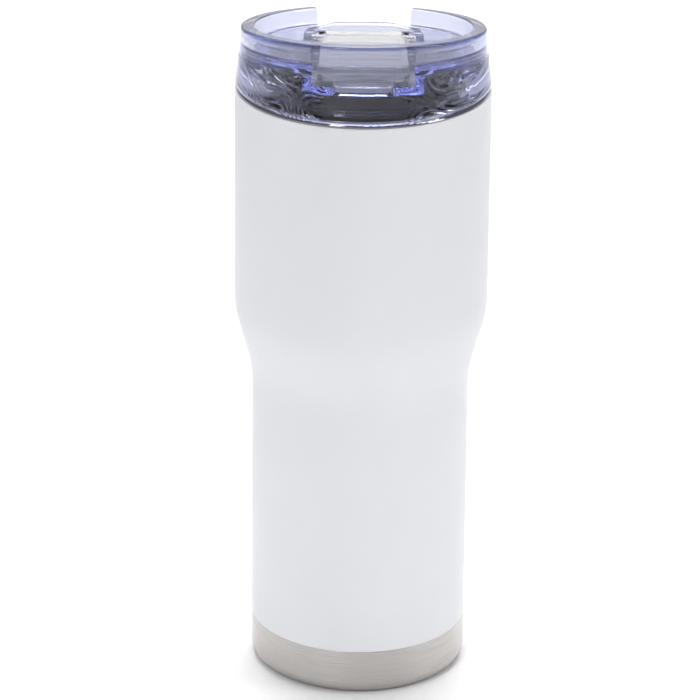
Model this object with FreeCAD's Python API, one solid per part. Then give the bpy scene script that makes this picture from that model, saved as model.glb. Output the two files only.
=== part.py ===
"""Insulated drinking tumbler with a push-on lid and a hinged drinking flap.

Millimetres, +Z up. The origin is the centre of the base, on the surface the tumbler stands on.
+Y is the back, where the ring of the lid is notched, and -Y is the drinking side.

The cup is a double steel wall with a vacuum between its skins: a wide upper half to hold, and a
narrower lower half that fits a cup holder. The lid's deck slants, higher at the drinking side, and
the rim of its ring slants a little more. Whatever belongs to the deck is drawn flat, about the middle
of the deck's top face, and then tipped and lifted into place by on_deck(); on_rim() does the same for
the rim.
"""

import FreeCAD, Part

import math
import os

from FreeCAD import Vector

# ---- cup: outer skin ----
GRIP_R = 40.0          # upper half, outside
HOLDER_R = 34.4        # lower half, outside, which goes into a cup holder
TAPER_MID_Z = 110.6    # middle of the taper between the two halves
TAPER_DEG = 15.0       # slope of the taper from the vertical
TAPER_BLEND_R = 30.0   # rounding where the taper meets each half
BAND_TOP_Z = 15.1      # top of the bare steel base
MOUTH_Z = 195.2        # top of the cup
COAT_TOP_Z = 193.8     # the outer skin and its coat end here, below the liner's bare lip
LIP_IN = 0.35          # the bare lip stands in from the outer skin
LIP_ROUND = 1.0        # outer rounding of the lip
LIP_ROUND_IN = 0.9     # inner rounding of the lip
LIP_BEND_IN = 0.6      # the same bend on the vacuum side
SKIN_T = 0.45          # outer skin
COAT_STEP = 0.1        # the coated skin stands this far proud of the bare base
COAT_EDGE = 0.3        # rounding of the coated skin's top edge
COAT_FOOT_EDGE = 0.1   # and of its bottom edge

# ---- cup: liner and vacuum space ----
LINER_T = 0.4
VACUUM_GAP = 2.65      # between the two skins
LINER_FLOOR_Z = 8.6    # underside of the liner's floor
LINER_CORNER_R = 7.0   # rounding between the liner's floor and its wall
LINER_SEAM_Z = 18.0    # where the liner's drawn base is welded to its tube
FOIL_T = 0.1           # copper foil round the liner, against radiant heat
FOIL_GAP = 0.15
FOIL_LOW = 4.0         # the foil starts this far above the seam
FOIL_HIGH = 7.0        # and ends this far below the mouth

# ---- cup: base ----
BASE_EDGE_R = 4.0      # rounding under the base
FOOT_IN_R = 27.0       # inner edge of the ring the cup stands on
FOOT_IN_EDGE = 0.5
RECESS_Z = 1.6         # height of the recess inside the foot ring
RECESS_LEAN = 1.0      # the recess's side leans in this far
DIMPLE_R = 9.0
DIMPLE_Z = 2.6
DIMPLE_LEAN = 1.4
PORT_R = 1.2           # hole through which the air was drawn out
BASE_BEND = 0.6        # rounding of the pressed bends
FOOT_LEAN_IN = 0.35    # the foot ring's leaning side: its inner face lies this far out from its outer face
DIMPLE_LEAN_IN = 0.2   # and the same for the dimple's side
BASE_DISC_R = 24.5
BASE_DISC_T = 0.5
BASE_DISC_RIM = 3.0    # width of the disc's set-down rim
BASE_DISC_SET = 0.25
BASE_DISC_GAP = 0.1    # disc below the recess
BASE_DISC_EDGE = 0.2
SPIGOT_H = 4.0         # the base cup's neck, which slips inside the outer skin
SPIGOT_CLEAR = 0.05
SHOULDER_H = 0.8       # the wall steps in to the spigot over this height
SEAL_BUTTON_R = 3.6    # glass solder under the port
SEAL_BUTTON_T = 0.75
SEAL_BUTTON_EDGE = 0.3
GETTER_R = 4.0
GETTER_T = 2.0
GETTER_X = 14.0
GETTER_GAP = 0.35      # getter below the liner's floor
CLIP_W = 4.0
CLIP_T = 0.3
CLIP_FOOT = 4.0
CLIP_CLEAR = 0.1       # clip round the getter

# ---- lid: slanted ring and deck ----
DECK_SLANT = 7.0       # degrees
DECK_Z = 207.3         # height of the deck's top at the axis of the cup
DECK_T = 2.8
RIM_SLANT = 8.8
LID_RIM_Z = 213.6      # height of the ring's rim at the axis of the cup
RING_R = 38.05         # ring at its rim, outside
RING_FOOT_R = 38.5     # ring level with the deck's underside, outside
RING_IN_R = 33.8       # ring, inside
RIM_ROUND_OUT = 0.9
RIM_ROUND_IN = 0.7
DECK_ROUND = 1.2       # rounding where the ring rises from the deck

# ---- lid: skirt that stands on the cup, and plug that goes into it ----
SEAT_GAP = 0.1         # lid above the top of the cup
SKIRT_TOP_R = 38.8     # stands a hair proud of the ring above it
FOOT_R = 39.85         # outside of the skirt at the rim
FOOT_H = 1.1           # upright part of the skirt's foot
FOOT_EDGE = 0.6
SEAT_CORNER = 0.4      # where the plug meets the seat
FLANGE_T = 2.2
SKIRT_IN_R = 34.2      # skirt level with the deck's underside, inside; it narrows to the plug's bore
PLUG_R = 35.7
PLUG_IN_R = 33.4
PLUG_BOTTOM_Z = 181.0
PLUG_LEAD = (0.8, 1.2)  # chamfer that leads the plug into the liner: width, height
GROOVE_R = 34.4
GROOVE_Z = (186.2, 190.4)
GASKET_CLEAR = 0.1     # gasket inside its groove, above, below and under the plug's face
GASKET_EDGE = 0.2
LIP_CLEAR = 0.1        # gasket lips to the liner
LIP_H = 1.5            # height of each gasket lip at its root
LIP_TIP = 0.15

# ---- lid: channel for the flap (deck frame: x, y, height above the deck) ----
CHANNEL_X = 16.2       # half width along the middle
CHANNEL_END_X = 14.2   # half width at both ends
CHANNEL_WIDE_Y = (-13.0, 18.0)  # the sides sweep inwards past these
CHANNEL_SWEEP_R = 22.0
CHANNEL_BACK_Y = 29.2
CHANNEL_DEPTH = 6.0
CHANNEL_WALL = 2.6
CHANNEL_FLOOR = 2.7
TUB_INTO = 0.5         # the tub reaches this far up into the deck
TUB_END_R = 35.7       # the tub's front end runs into the skirt
NOTCH_X = 14.5         # half width of the gap in the ring
NOTCH_LEAN = 0.3       # the gap is this much wider at the top
NOTCH_ROUND = 1.6
SILL_H = -0.35         # the gap's sill, just below the deck
SILL_FLAT_X = 9.3      # half width of the level middle of the sill
SILL_DROP = 1.2        # how far the ends of the sill fall away
SILL_BEND_R = 9.0      # rounding between the sill's middle and its ends
SPOUT_X = 9.2          # drinking opening, half width
SPOUT_Y = (-31.2, -22.4)
SPOUT_ROUND = 3.0

# ---- flap (deck frame) ----
HINGE_Y = 18.0
HINGE_H = -2.1
BARREL_R = 3.1
BARREL_X = 12.3        # half length of the barrel
PIN_R = 1.5
PIN_X = 17.8           # tips of the two hinge pins
PIN_CLEAR = 0.06
PIN_END_CLEAR = 0.25
SNAP = 0.15            # the seat's mouth is this much narrower than the pin, on each side
SNAP_FLARE = 0.6
BARREL_EDGE = 0.5
PIN_EDGE = 0.3
FLAP_X = 13.4
FLAP_T = 4.4
FLAP_CORNER = 3.4      # front corners, in plan
FLAP_BACK_CORNER = 1.5
FLAP_EDGE = 0.8        # rounding of the top edge
FLAP_FRONT_Y = -31.2
FLAP_BACK_Y = 12.8
PANEL_X = 11.2         # sunk thumb panel on the top
PANEL_Y = (-18.6, -8.4)
PANEL_DEPTH = 0.6
PANEL_CORNER = 1.8
HOLLOW_X = 11.4        # hollow underneath, with cross ribs
HOLLOW_Y = (-19.5, 10.6)
HOLLOW_CORNER = 1.2
FLAP_SKIN = 2.2
RIB_T = 1.2
RIB_SHORT = 0.4        # the ribs end this far above the flap's underside
RIBS = 4
RIDGES = 3             # finger ridges across the front end
RIDGE_TOP_H = -1.0     # middle of the top ridge
RIDGE_PITCH = 1.2
RIDGE_PROUD = 0.5
RIDGE_ROOT = 0.4       # half height of a ridge at its root
RIDGE_TIP = 0.25       # and at its tip
RIDGE_TIP_R = 0.12
RIDGE_END = 4.0        # the ridges stop this far short of the flap's sides

# ---- flap seal ----
SEAL_CLEAR = 0.3       # sides and back of the opening
SEAL_FRONT_CLEAR = 0.8  # the seal swings forward a little as it rises
SEAL_FLANGE_T = 0.9
SEAL_RECESS = 0.8      # the flange is let into the flap this deep
SEAL_EDGE = (1.9, 1.0, 1.1)  # flange past the opening: sides, in from the flap's front, back
SEAL_CORNER = 2.4
SEAL_DEPTH = 4.0       # below the flange
SEAL_SHORT = 0.6       # the waist ends this far above that depth
WAIST_IN = (0.5, 0.4)  # waist inside the beads: sides, ends
WAIST_CORNER = 2.1
BEAD_CORNER = 2.5
BEAD_H = 0.8
BEAD_LOW = (0.6, 2.1)  # top of each bead, below the flange

ABOVE = 30.0           # a cutter's reach past whatever it cuts
TINY = 1e-6            # lengths and heights closer than this are the same
OVERLAP = 0.3          # joined pieces of one moulding run into each other this far

# ---- heights and insets that follow ----
LINER_OUT = SKIN_T + VACUUM_GAP    # liner's outer face, in from the outside of the cup
LINER_IN = LINER_OUT + LINER_T
GETTER_Z = LINER_FLOOR_Z - GETTER_GAP - GETTER_T
SEAT_Z = MOUTH_Z + SEAT_GAP


# ---------------------------------------------------------------- tools

def rounded_wire(corners, place):
    """Closed wire through (u, v) or (u, v, corner radius); place(u, v) gives the point in space."""
    count = len(corners)
    spans = []
    for i, corner in enumerate(corners):
        here = Vector(corner[0], corner[1], 0)
        radius = corner[2] if len(corner) > 2 else 0
        if not radius:
            spans.append((here, here, here))
            continue
        back = Vector(corners[i - 1][0], corners[i - 1][1], 0) - here
        ahead = Vector(corners[(i + 1) % count][0], corners[(i + 1) % count][1], 0) - here
        back.normalize()
        ahead.normalize()
        half = back.getAngle(ahead) / 2
        reach = radius / math.tan(half)
        middle = back + ahead
        middle.normalize()
        crown = here + middle * (radius / math.sin(half) - radius)
        spans.append((here + back * reach, crown, here + ahead * reach))
    edges = []
    for i, (start, crown, end) in enumerate(spans):
        if (end - start).Length > TINY:
            edges.append(Part.Arc(*[place(p.x, p.y) for p in (start, crown, end)]).toShape())
        following = spans[(i + 1) % count][0]
        if (following - end).Length > TINY:
            run = Part.LineSegment(place(end.x, end.y), place(following.x, following.y))
            edges.append(run.toShape())
    return Part.Wire(edges)


def lathe(corners):
    """Solid of revolution about Z from (radius, height) corners, each with an optional rounding."""
    wire = rounded_wire(corners, lambda r, z: Vector(r, 0, z))
    return Part.Face(wire).revolve(Vector(0, 0, 0), Vector(0, 0, 1), 360)


def slab(corners, low, high):
    """Plan outline in (x, y) pulled up from low to high."""
    wire = rounded_wire(corners, lambda x, y: Vector(x, y, low))
    return Part.Face(wire).extrude(Vector(0, 0, high - low))


def block(half_x, y_low, y_high, low, high, corner=0.0):
    """Block centred on x = 0, with its four upright edges rounded."""
    across = [(-half_x, y_low), (half_x, y_low), (half_x, y_high), (-half_x, y_high)]
    return slab([(x, y, corner) for x, y in across], low, high)


def drawn_along_y(corners, y_low, y_high):
    """Outline in (x, height) pushed back from y_low to y_high."""
    wire = rounded_wire(corners, lambda x, h: Vector(x, y_low, h))
    return Part.Face(wire).extrude(Vector(0, y_high - y_low, 0))


def drawn_along_x(corners, x_low, x_high):
    """Outline in (y, height) pushed across from x_low to x_high."""
    wire = rounded_wire(corners, lambda y, h: Vector(x_low, y, h))
    return Part.Face(wire).extrude(Vector(x_high - x_low, 0, 0))


def hinge_rod(radius, x_low, x_high):
    """Rod along the hinge's axis."""
    return Part.makeCylinder(radius, x_high - x_low, Vector(x_low, HINGE_Y, HINGE_H), Vector(1, 0, 0))


def round_top(shape, height, radius):
    """Rounds every edge of the flat top at that height."""
    def on_top(edge):
        return abs(edge.BoundBox.ZMin - height) < TINY and abs(edge.BoundBox.ZMax - height) < TINY
    return shape.makeFillet(radius, [edge for edge in shape.Edges if on_top(edge)])


def tipped(shape, slant, z):
    """Tips a shape drawn flat about the origin, and lifts it to height z on the axis of the cup."""
    placed = shape.copy()
    placed.rotate(Vector(0, 0, 0), Vector(1, 0, 0), -slant)
    placed.translate(Vector(0, 0, z))
    return placed


def on_deck(shape):
    return tipped(shape, DECK_SLANT, DECK_Z)


def on_rim(shape):
    return tipped(shape, RIM_SLANT, LID_RIM_Z)


def deck_circle(radius, h):
    return Part.Wire([on_deck(Part.makeCircle(radius, Vector(0, 0, h), Vector(0, 0, 1)))])


def level_circle(radius, z):
    return Part.Wire([Part.makeCircle(radius, Vector(0, 0, z), Vector(0, 0, 1))])


def export(name, shape):
    """Writes one node, and stops if it isn't a whole solid."""
    solids = shape.Solids
    if not solids or not all(s.isValid() and s.Volume > 0 for s in solids):
        raise SystemExit(f"{name}: not a valid solid")
    whole = solids[0] if len(solids) == 1 else Part.Compound(solids)
    whole.exportStep(f"parts/{name}.step")
    box = whole.BoundBox
    print(f"{name}: {len(solids)} solid(s), {whole.Volume / 1000:.2f} cm3, "
          f"z {box.ZMin:.1f} to {box.ZMax:.1f}")


# ---------------------------------------------------------------- cup

def tapered(inset):
    """Taper's two corners, lower first, as (radius, height, rounding), for a skin inset from the outside."""
    half_rise = (GRIP_R - HOLDER_R) / 2 / math.tan(math.radians(TAPER_DEG))
    drop = inset * math.tan(math.radians(TAPER_DEG / 2))
    lower = (HOLDER_R - inset, TAPER_MID_Z - half_rise + drop, TAPER_BLEND_R + inset)
    upper = (GRIP_R - inset, TAPER_MID_Z + half_rise + drop, TAPER_BLEND_R - inset)
    return lower, upper


def outer_shell():
    """Outer skin, from the bare base to just under the lip, with the powder coat that finishes it."""
    out_low, out_high = tapered(0)
    in_low, in_high = tapered(SKIN_T)
    return lathe([
        (HOLDER_R, BAND_TOP_Z, COAT_FOOT_EDGE), out_low, out_high, (GRIP_R, COAT_TOP_Z, COAT_EDGE),
        (GRIP_R - SKIN_T, COAT_TOP_Z), in_high, in_low, (HOLDER_R - SKIN_T, BAND_TOP_Z),
    ])


def liner_tube():
    """Tube of the liner, whose lip is rolled out over the top of the outer skin and welded to it."""
    out_low, out_high = tapered(LINER_OUT)
    in_low, in_high = tapered(LINER_IN)
    neck = GRIP_R - LINER_OUT
    lip = GRIP_R - LIP_IN
    under = MOUTH_Z - LINER_T
    return lathe([
        (HOLDER_R - LINER_OUT, LINER_SEAM_Z), out_low, out_high, (neck, under, LIP_BEND_IN),
        (lip - LINER_T, under, LIP_ROUND - LINER_T), (lip - LINER_T, COAT_TOP_Z), (lip, COAT_TOP_Z),
        (lip, MOUTH_Z, LIP_ROUND), (neck - LINER_T, MOUTH_Z, LIP_ROUND_IN), in_high, in_low,
        (HOLDER_R - LINER_IN, LINER_SEAM_Z),
    ])


def liner_base():
    """Drawn cup that closes the bottom of the liner."""
    out_r = HOLDER_R - LINER_OUT
    in_r = HOLDER_R - LINER_IN
    floor_top = LINER_FLOOR_Z + LINER_T
    return lathe([
        (0, LINER_FLOOR_Z), (out_r, LINER_FLOOR_Z, LINER_CORNER_R), (out_r, LINER_SEAM_Z),
        (in_r, LINER_SEAM_Z), (in_r, floor_top, LINER_CORNER_R - LINER_T), (0, floor_top),
    ])


def copper_foil():
    near, far = LINER_OUT - FOIL_GAP, LINER_OUT - FOIL_GAP - FOIL_T
    near_low, near_high = tapered(near)
    far_low, far_high = tapered(far)
    low_z, high_z = LINER_SEAM_Z + FOIL_LOW, MOUTH_Z - FOIL_HIGH
    return lathe([
        (HOLDER_R - far, low_z), far_low, far_high, (GRIP_R - far, high_z),
        (GRIP_R - near, high_z), near_high, near_low, (HOLDER_R - near, low_z),
    ])


def base_cup():
    """Bare steel base: the band that shows, the foot ring, and a dimple round the port."""
    wall = SKIN_T
    band = HOLDER_R - COAT_STEP
    spigot = HOLDER_R - SKIN_T - SPIGOT_CLEAR
    band_top = BAND_TOP_Z - SPIGOT_CLEAR
    spigot_top = BAND_TOP_Z + SPIGOT_H
    shoulder = BAND_TOP_Z - SHOULDER_H - wall
    return lathe([
        (PORT_R, DIMPLE_Z), (DIMPLE_R, DIMPLE_Z, BASE_BEND), (DIMPLE_R + DIMPLE_LEAN, RECESS_Z, BASE_BEND),
        (FOOT_IN_R - RECESS_LEAN, RECESS_Z, BASE_BEND), (FOOT_IN_R, 0, FOOT_IN_EDGE), (band, 0, BASE_EDGE_R),
        (band, band_top, COAT_FOOT_EDGE), (spigot, band_top), (spigot, spigot_top),
        (spigot - wall, spigot_top), (spigot - wall, shoulder), (band - wall, shoulder - wall),
        (band - wall, wall, BASE_EDGE_R - wall), (FOOT_IN_R + FOOT_LEAN_IN, wall, FOOT_IN_EDGE),
        (FOOT_IN_R - RECESS_LEAN + FOOT_LEAN_IN, RECESS_Z + wall, BASE_BEND),
        (DIMPLE_R + DIMPLE_LEAN + DIMPLE_LEAN_IN, RECESS_Z + wall, BASE_BEND),
        (DIMPLE_R + DIMPLE_LEAN_IN, DIMPLE_Z + wall, BASE_BEND), (PORT_R, DIMPLE_Z + wall),
    ])


def base_disc():
    """Cover let into the foot ring, over the port."""
    top = RECESS_Z - BASE_DISC_GAP
    face = top - BASE_DISC_T
    rim = BASE_DISC_R - BASE_DISC_RIM
    low = face - BASE_DISC_SET
    return lathe([
        (0, face), (rim, face), (rim + BASE_BEND, low), (BASE_DISC_R, low, BASE_DISC_EDGE),
        (BASE_DISC_R, top, BASE_DISC_EDGE), (0, top),
    ])


def port_seal():
    """Glass solder that closes the port: a button under the dimple with a stub in the hole."""
    low = DIMPLE_Z - SEAL_BUTTON_T
    stub_top = DIMPLE_Z + SKIN_T + OVERLAP
    return lathe([
        (0, low), (SEAL_BUTTON_R, low, SEAL_BUTTON_EDGE), (SEAL_BUTTON_R, DIMPLE_Z), (PORT_R, DIMPLE_Z),
        (PORT_R, stub_top), (0, stub_top),
    ])


def getter():
    """Pill that soaks up stray gas in the vacuum."""
    return Part.makeCylinder(GETTER_R, GETTER_T, Vector(GETTER_X, 0, GETTER_Z))


def getter_clip():
    """Strap round the pill, with two feet welded under the liner's floor."""
    low = GETTER_Z - CLIP_T
    top = LINER_FLOOR_Z
    inside = GETTER_R + CLIP_CLEAR
    outside = inside + CLIP_T
    toe = outside + CLIP_FOOT
    strap = drawn_along_y([
        (-toe, top - CLIP_T), (-outside, top - CLIP_T), (-outside, low), (outside, low),
        (outside, top - CLIP_T), (toe, top - CLIP_T), (toe, top), (inside, top),
        (inside, low + CLIP_T), (-inside, low + CLIP_T), (-inside, top), (-toe, top),
    ], -CLIP_W / 2, CLIP_W / 2)
    strap.translate(Vector(GETTER_X, 0, 0))
    return strap


# ---------------------------------------------------------------- lid

def skirt():
    """Thick wall from the level seat up to the slanted deck, hollow inside."""
    hollow_z = SEAT_Z + FLANGE_T
    outline = [level_circle(FOOT_R, SEAT_Z + FOOT_H), deck_circle(SKIRT_TOP_R, -DECK_T)]
    wall = Part.makeLoft(outline, True, True)
    bore = [level_circle(PLUG_IN_R, hollow_z), deck_circle(SKIRT_IN_R, -DECK_T)]
    hollow = Part.makeLoft(bore, True, True)
    return wall.cut(hollow).cut(Part.makeCylinder(PLUG_IN_R, hollow_z))


def seat_and_plug():
    """Flange that stands on the cup, and the plug with its gasket groove."""
    low, high = GROOVE_Z
    lead_in, lead_up = PLUG_LEAD
    flange_top = SEAT_Z + FLANGE_T
    return lathe([
        (PLUG_IN_R, PLUG_BOTTOM_Z), (PLUG_R - lead_in, PLUG_BOTTOM_Z), (PLUG_R, PLUG_BOTTOM_Z + lead_up),
        (PLUG_R, low), (GROOVE_R, low), (GROOVE_R, high), (PLUG_R, high), (PLUG_R, SEAT_Z, SEAT_CORNER),
        (FOOT_R, SEAT_Z, FOOT_EDGE), (FOOT_R, SEAT_Z + FOOT_H), (FOOT_R - FOOT_EDGE, flange_top),
        (PLUG_IN_R, flange_top),
    ])


def ring_and_deck():
    """Ring that follows the rim's slant outside, and the deck's slant inside and below."""
    drop = LID_RIM_Z - DECK_Z + DECK_T
    spread = (RING_FOOT_R - RING_R) / drop
    reach = 2 * drop
    cone = [(0, -reach), (RING_R + spread * reach, -reach), (RING_R, 0, RIM_ROUND_OUT), (0, 0)]
    outside = on_rim(lathe(cone))
    above_underside = on_deck(block(2 * RING_R, -2 * RING_R, 2 * RING_R, -DECK_T, ABOVE))
    inside = on_deck(lathe([(0, 0), (RING_IN_R, 0, DECK_ROUND), (RING_IN_R, ABOVE), (0, ABOVE)]))
    ring = outside.common(above_underside).cut(inside)
    top = [f for f in ring.Faces if f.normalAt(0, 0).z > 0.9 and f.CenterOfMass.z > LID_RIM_Z - 1]
    top = max(top, key=lambda f: f.BoundBox.ZMax)
    inner = min(top.Wires, key=lambda w: w.Length)
    return ring.makeFillet(RIM_ROUND_IN, inner.Edges)


def channel_plan(outset):
    """Outline of the channel, swept inwards towards both its ends, moved out all round by outset."""
    wide, narrow = CHANNEL_X + outset, CHANNEL_END_X + outset
    front, back = -RING_R, CHANNEL_BACK_Y + outset
    sweep = CHANNEL_SWEEP_R + outset
    wide_front, wide_back = CHANNEL_WIDE_Y
    half = [(narrow, front), (wide, wide_front, sweep), (wide, wide_back, sweep), (narrow, back)]
    mirrored = [(-corner[0],) + corner[1:] for corner in reversed(half)]
    return half + mirrored


def channel_tub():
    """Tub under the deck that the flap lies in, before its inside is cut away."""
    tub = slab(channel_plan(CHANNEL_WALL), -CHANNEL_DEPTH - CHANNEL_FLOOR, TUB_INTO - DECK_T)
    return tub.common(Part.makeCylinder(TUB_END_R, ABOVE, Vector(0, 0, -ABOVE)))


def channel_space():
    """What the tub's inside, up through the deck, leaves open."""
    space = slab(channel_plan(0), -CHANNEL_DEPTH, ABOVE)
    return space.common(Part.makeCylinder(RING_IN_R, 2 * ABOVE, Vector(0, 0, -ABOVE)))


def notch_space():
    """Gap in the ring behind the hinge, down to a sill whose ends fall away."""
    past = 6.0      # reach past the gap at the sides, above and behind
    deep = 12.0
    lift = 0.02     # the corners' roundings stay this far clear of the rim's face
    wide = NOTCH_X + past
    sides = drawn_along_y([
        (-NOTCH_X + NOTCH_LEAN, -deep), (NOTCH_X - NOTCH_LEAN, -deep),
        (NOTCH_X + NOTCH_LEAN, lift, NOTCH_ROUND), (wide, lift), (wide, past),
        (-wide, past), (-wide, lift), (-NOTCH_X - NOTCH_LEAN, lift, NOTCH_ROUND),
    ], 0, RING_R + past)
    end_h = SILL_H - SILL_DROP * (wide - SILL_FLAT_X) / (NOTCH_X - SILL_FLAT_X)
    above_sill = drawn_along_y([
        (-wide, end_h), (-SILL_FLAT_X, SILL_H, SILL_BEND_R), (SILL_FLAT_X, SILL_H, SILL_BEND_R),
        (wide, end_h), (wide, ABOVE), (-wide, ABOVE),
    ], CHANNEL_BACK_Y - OVERLAP, RING_R + past)
    return on_rim(sides).common(on_deck(above_sill))


def hinge_socket(side):
    """Round seat for a pin, with a snap-in mouth that is open at the top."""
    low, high = sorted((side * (CHANNEL_X - OVERLAP), side * (PIN_X + PIN_END_CLEAR)))
    mouth = PIN_R - SNAP
    flare = PIN_R + SNAP_FLARE
    top = PIN_R
    slot = drawn_along_x([
        (HINGE_Y - mouth, HINGE_H), (HINGE_Y + mouth, HINGE_H), (HINGE_Y + mouth, 0),
        (HINGE_Y + flare, top), (HINGE_Y - flare, top), (HINGE_Y - mouth, 0),
    ], low, high)
    return hinge_rod(PIN_R + PIN_CLEAR, low, high).fuse(slot)


def spout_space():
    """Drinking opening, through the floor of the channel."""
    past = 1.0
    low, high = -CHANNEL_DEPTH - CHANNEL_FLOOR - past, past - CHANNEL_DEPTH
    return block(SPOUT_X, SPOUT_Y[0], SPOUT_Y[1], low, high, SPOUT_ROUND)


def lid_body():
    ring = ring_and_deck().fuse(on_deck(channel_tub()))
    gaps = [on_deck(gap) for gap in (channel_space(), hinge_socket(-1), hinge_socket(1), spout_space())]
    return ring.cut(gaps + [notch_space()]).fuse([skirt(), seat_and_plug()])


def lid_gasket():
    """Ring in the plug's groove, with two lips that wipe the liner."""
    low, high = GROOVE_Z[0] + GASKET_CLEAR, GROOVE_Z[1] - GASKET_CLEAR
    root = PLUG_R - GASKET_CLEAR
    tip = GRIP_R - LINER_IN - LIP_CLEAR
    lip = [(root, 0, GASKET_EDGE), (tip, LIP_H / 2, LIP_TIP), (root, LIP_H, GASKET_EDGE)]
    lower_lip = [(r, low + h, rounding) for r, h, rounding in lip]
    upper_lip = [(r, high - LIP_H + h, rounding) for r, h, rounding in lip]
    return lathe([(GROOVE_R, low)] + lower_lip + upper_lip + [(GROOVE_R, high)])


# ---------------------------------------------------------------- flap

def flap_plate():
    front = [(x, FLAP_FRONT_Y, FLAP_CORNER) for x in (-FLAP_X, FLAP_X)]
    back = [(x, FLAP_BACK_Y, FLAP_BACK_CORNER) for x in (FLAP_X, -FLAP_X)]
    return round_top(slab(front + back, -FLAP_T, 0), 0, FLAP_EDGE)


def chamfered_rod(radius, half_length, chamfer):
    """Rod across the hinge, with both its ends chamfered."""
    plain = hinge_rod(radius, -half_length, half_length)
    ends = [edge for edge in plain.Edges if edge.Curve.TypeId == "Part::GeomCircle"]
    return plain.makeChamfer(chamfer, ends)


def seal_recess():
    """Shallow pocket under the front of the flap for the seal's flange."""
    side, front, back = SEAL_EDGE
    low, high = -FLAP_T - 1, SEAL_RECESS - FLAP_T
    return block(SPOUT_X + side, FLAP_FRONT_Y + front, SPOUT_Y[1] + back, low, high, SEAL_CORNER)


def ribs():
    """Cross ribs in the hollow underneath."""
    pitch = (HOLLOW_Y[1] - HOLLOW_Y[0]) / (RIBS + 1)
    middles = [HOLLOW_Y[0] + pitch * (i + 1) for i in range(RIBS)]
    low, high = RIB_SHORT - FLAP_T, OVERLAP - FLAP_SKIN
    return [block(HOLLOW_X + OVERLAP, y - RIB_T / 2, y + RIB_T / 2, low, high) for y in middles]


def ridges():
    """Finger ridges across the flap's front end."""
    made = []
    root, tip = FLAP_FRONT_Y + OVERLAP, FLAP_FRONT_Y - RIDGE_PROUD
    half_x = FLAP_X - RIDGE_END
    for i in range(RIDGES):
        h = RIDGE_TOP_H - i * RIDGE_PITCH
        made.append(drawn_along_x([
            (root, h - RIDGE_ROOT), (root, h + RIDGE_ROOT),
            (tip, h + RIDGE_TIP, RIDGE_TIP_R), (tip, h - RIDGE_TIP, RIDGE_TIP_R),
        ], -half_x, half_x))
    return made


def flap():
    """Flap with its hinge barrel and the two pins moulded in one piece with it."""
    past = 2.0      # the neck's run into the plate, and a cutter's reach above it
    neck = block(BARREL_X, FLAP_BACK_Y - past, HINGE_Y, -FLAP_T, 0)
    barrel = chamfered_rod(BARREL_R, BARREL_X, BARREL_EDGE)
    pins = chamfered_rod(PIN_R, PIN_X, PIN_EDGE)
    panel = block(PANEL_X, PANEL_Y[0], PANEL_Y[1], -PANEL_DEPTH, past, PANEL_CORNER)
    hollow = block(HOLLOW_X, HOLLOW_Y[0], HOLLOW_Y[1], -FLAP_T - 1, -FLAP_SKIN, HOLLOW_CORNER)
    body = flap_plate().fuse([neck, barrel, pins]).cut([panel, hollow, seal_recess()])
    return on_deck(body.fuse(ribs() + ridges()))


def flap_seal():
    """Soft plug under the front of the flap, which fills the drinking opening."""
    x = SPOUT_X - SEAL_CLEAR
    front, back = SPOUT_Y[0] + SEAL_FRONT_CLEAR, SPOUT_Y[1] - SEAL_CLEAR
    waist_side, waist_end = WAIST_IN
    top = SEAL_RECESS - FLAP_T
    low = top - SEAL_FLANGE_T
    waist_low = low - SEAL_DEPTH + SEAL_SHORT
    flange = seal_recess().common(block(2 * SPOUT_X, -RING_R, 0, low, top))
    waist = block(x - waist_side, front + waist_end, back - waist_end, waist_low, low, WAIST_CORNER)
    beads = [block(x, front, back, low - drop - BEAD_H, low - drop, BEAD_CORNER) for drop in BEAD_LOW]
    return on_deck(flange.fuse([waist] + beads))


# ---------------------------------------------------------------- all nodes

os.makedirs("parts", exist_ok=True)
for make in (outer_shell, liner_tube, liner_base, copper_foil, base_cup, base_disc, port_seal,
             getter, getter_clip, lid_body, lid_gasket, flap, flap_seal):
    export(make.__name__, make())
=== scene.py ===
import math

import bpy
from mathutils import Matrix, Vector


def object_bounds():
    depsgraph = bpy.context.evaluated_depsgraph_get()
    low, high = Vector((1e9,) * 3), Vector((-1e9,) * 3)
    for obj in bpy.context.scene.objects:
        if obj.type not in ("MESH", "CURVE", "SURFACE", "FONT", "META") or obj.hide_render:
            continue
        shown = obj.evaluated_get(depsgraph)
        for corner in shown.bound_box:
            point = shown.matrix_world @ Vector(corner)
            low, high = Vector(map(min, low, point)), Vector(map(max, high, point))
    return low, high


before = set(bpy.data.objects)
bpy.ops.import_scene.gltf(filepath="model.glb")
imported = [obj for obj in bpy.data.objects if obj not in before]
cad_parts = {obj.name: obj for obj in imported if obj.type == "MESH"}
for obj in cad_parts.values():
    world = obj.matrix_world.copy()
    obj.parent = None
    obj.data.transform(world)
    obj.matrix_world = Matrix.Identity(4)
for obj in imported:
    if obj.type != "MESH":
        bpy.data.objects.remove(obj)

CAD_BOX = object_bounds()
MM = 0.001

# ---- camera: where it stands, and how it is turned ----
CAMERA_AT = Vector((0, -1.354, 0.670))
CAMERA_TURN = math.radians(-0.14)    # about the vertical
CAMERA_DOWN = math.radians(22.65)
CAMERA_ROLL = math.radians(0.57)
LENS_MM = 237.5
SENSOR_MM = 36

# ---- lights and stage ----
WORLD_FRONT = 0.36    # brightness of the surroundings seen from the tumbler, each way
WORLD_SIDE = 0.20
WORLD_BACK = 0.55
WORLD_TOP = 0.62
WORLD_TINT = (1.0, 1.0, 1.02, 1)
GLOW = 0.3            # extra brightness low down at the back
GLOW_HEIGHT = 0.08
GLOW_SPREAD = 0.13
GLOW_NARROW = 6.0
BODY_MIDDLE = (0, 0, 0.11)
FLOOR_SIZE = 9.0
FLOOR_GAP = 0.05 * MM

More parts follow.
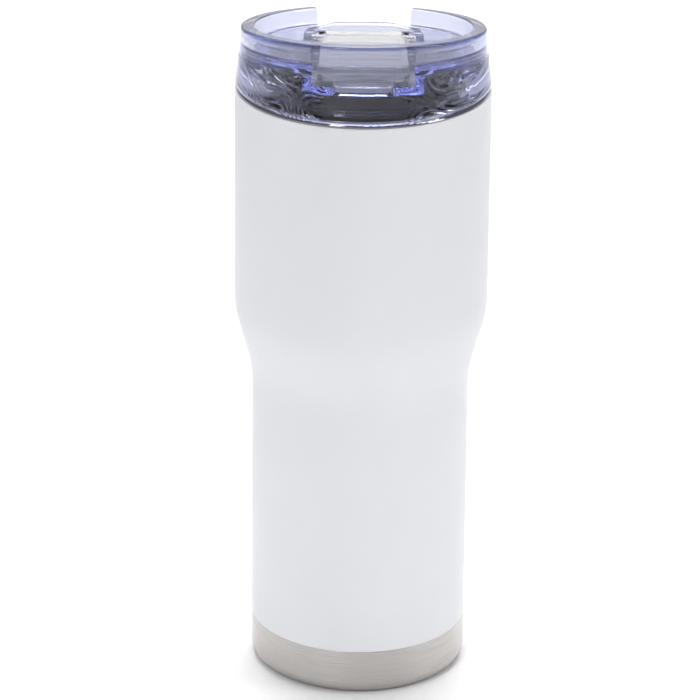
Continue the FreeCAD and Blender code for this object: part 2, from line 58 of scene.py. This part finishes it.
# ---- the lid's two slants, as the fall towards the back for each unit of y ----
DECK_SLANT = 0.123
RIM_SLANT = 0.1548

# ---- marks on the lid's outer face, and the painted shade on its rim and ring ----
CONTOUR_TURNS = 125.0    # radians of contour line over the whole range of the noise
CONTOUR_STRENGTH = 0.8
STREAK_STRENGTH = 0.75
# painted shade: a dark line along the rim and a darker, bluer ring above the deck
RIM_PAINTED_SHADE_STRENGTH = 0.85
RING_PAINTED_SHADE = 0.2
RING_CLEARNESS = 0.9

# ---- colours; where there are two, the darker comes first ----
COAT = (0.765, 0.775, 0.795), (0.78, 0.79, 0.81)
BRUSHED = (0.43, 0.41, 0.395), (0.56, 0.535, 0.515)
# the darker colour is also the painted shade on the lip
LINER = (0.25, 0.25, 0.27), (0.52, 0.515, 0.52)
SILICONE = (0.76, 0.77, 0.80), (0.84, 0.85, 0.87)
COPPER = (0.72, 0.36, 0.22), (0.86, 0.48, 0.32)
SOLDER = (0.10, 0.13, 0.12), (0.22, 0.26, 0.24)
GETTER = (0.12, 0.12, 0.125), (0.28, 0.28, 0.29)
FLOOR = (0.93, 0.93, 0.935), (0.95, 0.95, 0.955)
LID_SKIN = (0.87, 0.875, 0.92)
# painted shade, used for the dark rim line and the darker ring
LID_PAINTED_SHADE = (0.04, 0.09, 0.46)
LID_DEPTH = (0.17, 0.26, 0.90)    # the colour that light takes on inside the plastic
FLAP_SKIN = (0.985, 0.985, 0.99)
FLAP_DEPTH = (0.62, 0.64, 0.70)

# ---- sockets of the Mix node when it mixes colours ----
MIX_FIRST = 6
MIX_SECOND = 7
MIX_RESULT = 2


# ---------------------------------------------------------------- node tools

class Look:
    """A material being put together: its nodes, its shader and its bump chain."""

    def __init__(self, name, **sockets):
        self.material = bpy.data.materials.new(name)
        self.material.use_nodes = True
        self.nodes = self.material.node_tree.nodes
        self.links = self.material.node_tree.links
        self.shader = self.nodes["Principled BSDF"]
        self.output = self.nodes["Material Output"]
        for socket, value in sockets.items():
            self.shader.inputs[socket.replace("_", " ")].default_value = value
        self.where = self.nodes.new("ShaderNodeTexCoord").outputs["Object"]

    def add(self, kind, links=None, **values):
        node = self.nodes.new(kind)
        for key, value in values.items():
            setattr(node, key, value)
        for key, value in (links or {}).items():
            if isinstance(value, bpy.types.NodeSocket):
                self.links.new(value, node.inputs[key])
            else:
                node.inputs[key].default_value = value
        return node

    def math(self, operation, first, second=0.0):
        return self.add("ShaderNodeMath", {0: first, 1: second}, operation=operation).outputs[0]

    def product(self, first, *others):
        for other in others:
            first = self.math("MULTIPLY", first, other)
        return first

    def xyz(self):
        return self.add("ShaderNodeSeparateXYZ", {0: self.where}).outputs

    def radius(self, x, y):
        """Distance from the tumbler's axis."""
        return self.math("SQRT", self.math("ADD", self.math("POWER", x, 2.0), self.math("POWER", y, 2.0)))

    def stretched(self, scale):
        return self.add("ShaderNodeMapping", {"Vector": self.where, "Scale": scale}).outputs["Vector"]

    def noise(self, vector, scale, detail=2.0, roughness=0.5):
        links = {"Vector": vector, "Scale": scale, "Detail": detail, "Roughness": roughness}
        return self.add("ShaderNodeTexNoise", links).outputs["Fac"]

    def noise_along(self, value, scale, detail=2.0, roughness=0.5):
        """Noise that changes with one value only."""
        links = {"Scale": scale, "Detail": detail, "Roughness": roughness}
        node = self.add("ShaderNodeTexNoise", links, noise_dimensions="1D")
        self.links.new(value, node.inputs["W"])
        return node.outputs["Fac"]

    def ranged(self, value, low, high, out_low, out_high):
        links = {"Value": value, "From Min": low, "From Max": high, "To Min": out_low, "To Max": out_high}
        return self.add("ShaderNodeMapRange", links).outputs["Result"]

    def contrast(self, pattern, low=0.3, high=0.7):
        return self.ranged(pattern, low, high, 0.0, 1.0)

    def fade(self, value, start, end, top=1.0):
        """Goes from 0 at start to top at end, both in millimetres. End may be the smaller one."""
        return self.ranged(value, start * MM, end * MM, 0.0, top)

    def tint(self, factor, first, second):
        node = self.add("ShaderNodeMix", data_type="RGBA")
        self.links.new(factor, node.inputs["Factor"])
        node.inputs[MIX_FIRST].default_value = (*first, 1)
        node.inputs[MIX_SECOND].default_value = (*second, 1)
        self.drive("Base Color", node.outputs[MIX_RESULT])

    def roughen(self, pattern, smoothest, roughest, low=0.3, high=0.7):
        self.drive("Roughness", self.ranged(pattern, low, high, smoothest, roughest))

    def bump(self, height, depth, strength):
        links = {"Height": height, "Distance": depth, "Strength": strength}
        normal = self.add("ShaderNodeBump", links).outputs["Normal"]
        previous = self.shader.inputs["Normal"].links
        if previous:
            self.links.new(previous[0].from_socket, normal.node.inputs["Normal"])
        self.links.new(normal, self.shader.inputs["Normal"])

    def drive(self, socket, value):
        self.links.new(value, self.shader.inputs[socket])

    def absorb(self, colour, density):
        volume = self.add("ShaderNodeVolumeAbsorption")
        volume.inputs["Color"].default_value = (*colour, 1)
        volume.inputs["Density"].default_value = density
        self.links.new(volume.outputs[0], self.output.inputs["Volume"])


def put_on(look, *names):
    """Makes this look the only material of each CAD node named."""
    for name in names:
        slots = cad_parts[name].data.materials
        slots.clear()
        slots.append(look.material)


# ---------------------------------------------------------------- materials

def powder_coat():
    """White powder coat: satin, with the faint orange peel and fine grain of baked powder."""
    look = Look("powder_coat", IOR=1.5, Specular_IOR_Level=0.2)
    peel = look.noise(look.where, scale=900, detail=2.0)
    grain = look.noise(look.where, scale=5200, detail=3.0, roughness=0.6)
    clouds = look.noise(look.where, scale=28, detail=3.0)
    look.tint(look.contrast(clouds), *COAT)
    look.roughen(grain, smoothest=0.43, roughest=0.55)
    look.bump(peel, depth=0.06 * MM, strength=0.3)
    look.bump(grain, depth=0.02 * MM, strength=0.3)
    return look


def brushed_steel():
    """Bare stainless steel brushed round the axis: the light draws out up and down, across the lines."""
    look = Look("brushed_steel", Metallic=1.0, Anisotropic=0.8, Anisotropic_Rotation=0.25)
    tangent = look.add("ShaderNodeTangent", direction_type="RADIAL", axis="Z")
    look.drive("Tangent", tangent.outputs["Tangent"])
    x, y, z = look.xyz()
    across = look.math("ADD", look.radius(x, y), z)
    fine = look.noise_along(across, scale=9000, detail=4.0, roughness=0.7)
    broken = look.noise(look.stretched((60, 60, 5200)), scale=1.0, detail=3.0, roughness=0.65)
    lines = look.math("ADD", look.product(fine, 0.45), look.product(broken, 0.55))
    look.tint(look.contrast(lines, 0.35, 0.65), *BRUSHED)
    look.roughen(lines, smoothest=0.24, roughest=0.36, low=0.35, high=0.65)
    look.bump(lines, depth=0.03 * MM, strength=0.4)
    return look


def liner_steel():
    """Electropolished steel of the inside: smooth, with the tube's faint drawing marks, and a darker lip
    that is painted shade where it sits between lid and body.
    """
    look = Look("liner_steel", Metallic=1.0)
    drawn = look.noise(look.stretched((420, 420, 18)), scale=1.0, detail=3.0)
    mottle = look.noise(look.where, scale=240, detail=2.0)
    x, y, _ = look.xyz()
    # painted shade: more than 37.6 mm from the axis, the lip takes the darker colour
    clear_of_lip_shade = look.fade(look.radius(x, y), 37.6, 37.2)
    look.tint(look.product(look.ranged(drawn, 0.3, 0.7, 0.7, 1.0), clear_of_lip_shade), *LINER)
    look.roughen(mottle, smoothest=0.03, roughest=0.07)
    look.bump(drawn, depth=0.02 * MM, strength=0.3)
    return look


def clear_plastic(name, skin, depth_colour, density, waviness, milky=0.0, ior=1.55):
    """Polished clear moulding: tinted by its depth and a little at its skin, with a mould's slight waves."""
    look = Look(name, Base_Color=(*skin, 1), IOR=ior, Transmission_Weight=1.0 - milky)
    waves = look.noise(look.where, scale=130, detail=1.5)
    flow = look.noise(look.stretched((40, 40, 160)), scale=1.0, detail=1.0)
    smudge = look.noise(look.where, scale=60, detail=3.0)
    look.roughen(smudge, smoothest=0.0, roughest=0.012, low=0.45, high=0.75)
    look.bump(waves, depth=0.12 * MM, strength=waviness)
    look.bump(flow, depth=0.2 * MM, strength=waviness)
    look.absorb(depth_colour, density)
    return look


def tinted_lid():
    """The lid's own plastic. The front of its outer face has contour lines beside the tub and level streaks
    on the ring. A dark line of painted shade runs along the rim, and the ring above the deck is painted a
    darker, bluer shade."""
    look = clear_plastic("tinted_clear", LID_SKIN, LID_DEPTH, density=19, waviness=0.10, ior=1.48)
    x, y, z = look.xyz()
    sideways = look.math("ABSOLUTE", x)
    radius = look.radius(x, y)
    height_by_deck = look.math("ADD", z, look.product(y, DECK_SLANT))
    height_by_rim = look.math("ADD", z, look.product(y, RIM_SLANT))
    front_face = look.product(look.fade(radius, 36.2, 37.0), look.fade(y, 0.0, -8.0))
    above_deck = look.fade(height_by_deck, 204.0, 205.0)

    field = look.noise(look.stretched((34, 34, 60)), scale=1.0, detail=1.0)
    contours = look.math("SINE", look.product(field, CONTOUR_TURNS))
    beside_tub = look.product(look.fade(sideways, 10.0, 17.0), look.fade(sideways, 36.0, 30.0))
    below_deck = look.fade(height_by_deck, 204.5, 203.5)
    contoured = look.product(front_face, beside_tub, below_deck, CONTOUR_STRENGTH)
    look.bump(contours, depth=0.14 * MM, strength=contoured)

    level = look.noise_along(height_by_deck, scale=520, detail=1.0)
    streaked = look.product(front_face, above_deck, look.fade(sideways, 15.0, 27.0), STREAK_STRENGTH)
    look.bump(level, depth=0.5 * MM, strength=streaked)

    # painted shade: the dark blue line along the rim, and the ring above the deck painted darker and bluer
    rim_painted_shade = look.product(look.fade(height_by_rim, 212.0, 212.7, top=RIM_PAINTED_SHADE_STRENGTH),
                            look.fade(height_by_rim, 213.6, 213.3), look.fade(radius, 36.8, 37.2))
    painted_shade = look.math("MAXIMUM", rim_painted_shade, look.product(above_deck, RING_PAINTED_SHADE))
    look.tint(painted_shade, LID_SKIN, LID_PAINTED_SHADE)
    look.drive("Transmission Weight", look.ranged(above_deck, 0.0, 1.0, 1.0, RING_CLEARNESS))
    return look


def silicone():
    """Translucent silicone with a matt, faintly dusty skin."""
    look = Look("silicone", IOR=1.41, Transmission_Weight=0.15)
    dust = look.noise(look.where, scale=1400, detail=3.0)
    look.tint(look.contrast(dust, 0.35, 0.7), *SILICONE)
    look.roughen(dust, smoothest=0.38, roughest=0.55)
    look.bump(dust, depth=0.02 * MM, strength=0.3)
    return look


def copper():
    """Crinkled copper foil."""
    look = Look("copper", Metallic=1.0, Roughness=0.25)
    crinkle = look.noise(look.where, scale=300, detail=4.0, roughness=0.6)
    look.tint(look.contrast(crinkle), *COPPER)
    look.bump(crinkle, depth=0.3 * MM, strength=0.6)
    return look


def solder_glass():
    """Fused glass solder, with small bubbles."""
    look = Look("solder_glass", Roughness=0.15, IOR=1.6)
    bubbles = look.add("ShaderNodeTexVoronoi", {"Vector": look.where, "Scale": 2500}).outputs["Distance"]
    look.tint(look.contrast(bubbles, 0.1, 0.5), *SOLDER)
    look.bump(bubbles, depth=0.05 * MM, strength=0.4)
    return look


def getter_alloy():
    """Pressed grey metal powder."""
    look = Look("getter_alloy", Metallic=0.6, Roughness=0.7)
    grit = look.noise(look.where, scale=4000, detail=4.0, roughness=0.7)
    look.tint(look.contrast(grit), *GETTER)
    look.bump(grit, depth=0.1 * MM, strength=0.6)
    return look


# ---------------------------------------------------------------- stage

def floor():
    look = Look("floor", Roughness=0.9)
    speck = look.noise(look.where, scale=30, detail=4.0)
    look.tint(look.contrast(speck), *FLOOR)
    bpy.ops.mesh.primitive_plane_add(size=FLOOR_SIZE, location=(0, 0, CAD_BOX[0][2] - FLOOR_GAP))
    plane = bpy.context.object
    plane.name = "studio_floor"
    plane.data.materials.append(look.material)


def softbox(name, at, width, height, power, target=BODY_MIDDLE, spread=180):
    """A rectangular light, in metres, watts and degrees."""
    light = bpy.data.lights.new(name, "AREA")
    light.shape = "RECTANGLE"
    light.size = width
    light.size_y = height
    light.energy = power
    light.spread = math.radians(spread)
    lamp = bpy.data.objects.new(name, light)
    bpy.context.scene.collection.objects.link(lamp)
    aim = Vector(target) - Vector(at)
    lamp.matrix_world = Matrix.Translation(at) @ aim.to_track_quat("-Z", "Y").to_matrix().to_4x4()


def surroundings():
    """A plain studio whose brightness changes smoothly with direction: y runs from front to back."""
    world = bpy.data.worlds.new("studio")
    world.use_nodes = True
    nodes, links = world.node_tree.nodes, world.node_tree.links
    direction = nodes.new("ShaderNodeTexCoord").outputs["Generated"]
    split = nodes.new("ShaderNodeSeparateXYZ")
    links.new(direction, split.inputs[0])

    def math_node(operation, first, second):
        node = nodes.new("ShaderNodeMath")
        node.operation = operation
        for socket, value in zip(node.inputs, (first, second)):
            if isinstance(value, bpy.types.NodeSocket):
                links.new(value, socket)
            else:
                socket.default_value = value
        return node.outputs[0]

    x, y, z = split.outputs
    behind = math_node("MAXIMUM", y, 0.0)
    off_centre = math_node("DIVIDE", math_node("SUBTRACT", z, GLOW_HEIGHT), GLOW_SPREAD)
    squared = math_node("MULTIPLY", off_centre, off_centre)
    band = math_node("POWER", math.e, math_node("MULTIPLY", squared, -1.0))
    glow = math_node("MULTIPLY", band, math_node("POWER", behind, GLOW_NARROW))
    total = math_node("MULTIPLY", glow, GLOW)
    for part, level in ((math_node("MINIMUM", y, 0.0), WORLD_FRONT), (x, WORLD_SIDE),
                        (behind, WORLD_BACK), (z, WORLD_TOP)):
        share = math_node("MULTIPLY", math_node("MULTIPLY", part, part), level)
        total = math_node("ADD", total, share)
    links.new(total, nodes["Background"].inputs["Strength"])
    nodes["Background"].inputs["Color"].default_value = WORLD_TINT
    bpy.context.scene.world = world


def lights():
    softbox("key_left", at=(-0.62, -1.35, 1.10), width=0.30, height=1.0, power=8.2)
    softbox("key_right", at=(1.45, -0.35, 1.05), width=0.45, height=1.0, power=6.6)
    softbox("back_top", at=(0, 0.42, 1.15), width=0.9, height=0.9, power=4.8, target=(0, 0.30, 0), spread=85)


def camera():
    level = math.cos(CAMERA_DOWN)
    ahead = Vector((math.sin(CAMERA_TURN) * level, math.cos(CAMERA_TURN) * level, -math.sin(CAMERA_DOWN)))
    right = Vector((math.cos(CAMERA_TURN), -math.sin(CAMERA_TURN), 0))
    up = right.cross(ahead)
    rolled_right = right * math.cos(CAMERA_ROLL) + up * math.sin(CAMERA_ROLL)
    rolled_up = up * math.cos(CAMERA_ROLL) - right * math.sin(CAMERA_ROLL)
    data = bpy.data.cameras.new("camera")
    data.sensor_width = SENSOR_MM
    data.lens = LENS_MM
    cam = bpy.data.objects.new("camera", data)
    bpy.context.scene.collection.objects.link(cam)
    turn = Matrix((rolled_right, rolled_up, -ahead)).transposed().to_4x4()
    cam.matrix_world = Matrix.Translation(CAMERA_AT) @ turn
    bpy.context.scene.camera = cam


# ---------------------------------------------------------------- scene

camera()
floor()
surroundings()
lights()

put_on(powder_coat(), "outer_shell")
put_on(brushed_steel(), "base_cup", "base_disc")
put_on(liner_steel(), "liner_tube", "liner_base", "getter_clip")
put_on(tinted_lid(), "lid_body")
put_on(clear_plastic("clear", FLAP_SKIN, FLAP_DEPTH, density=1.0, waviness=0.06, milky=0.2), "flap")
put_on(silicone(), "lid_gasket", "flap_seal")
put_on(copper(), "copper_foil")
put_on(solder_glass(), "port_seal")
put_on(getter_alloy(), "getter")

scene = bpy.context.scene
scene.view_settings.view_transform = "Standard"
scene.cycles.max_bounces = 40
scene.cycles.transmission_bounces = 32
scene.cycles.glossy_bounces = 12
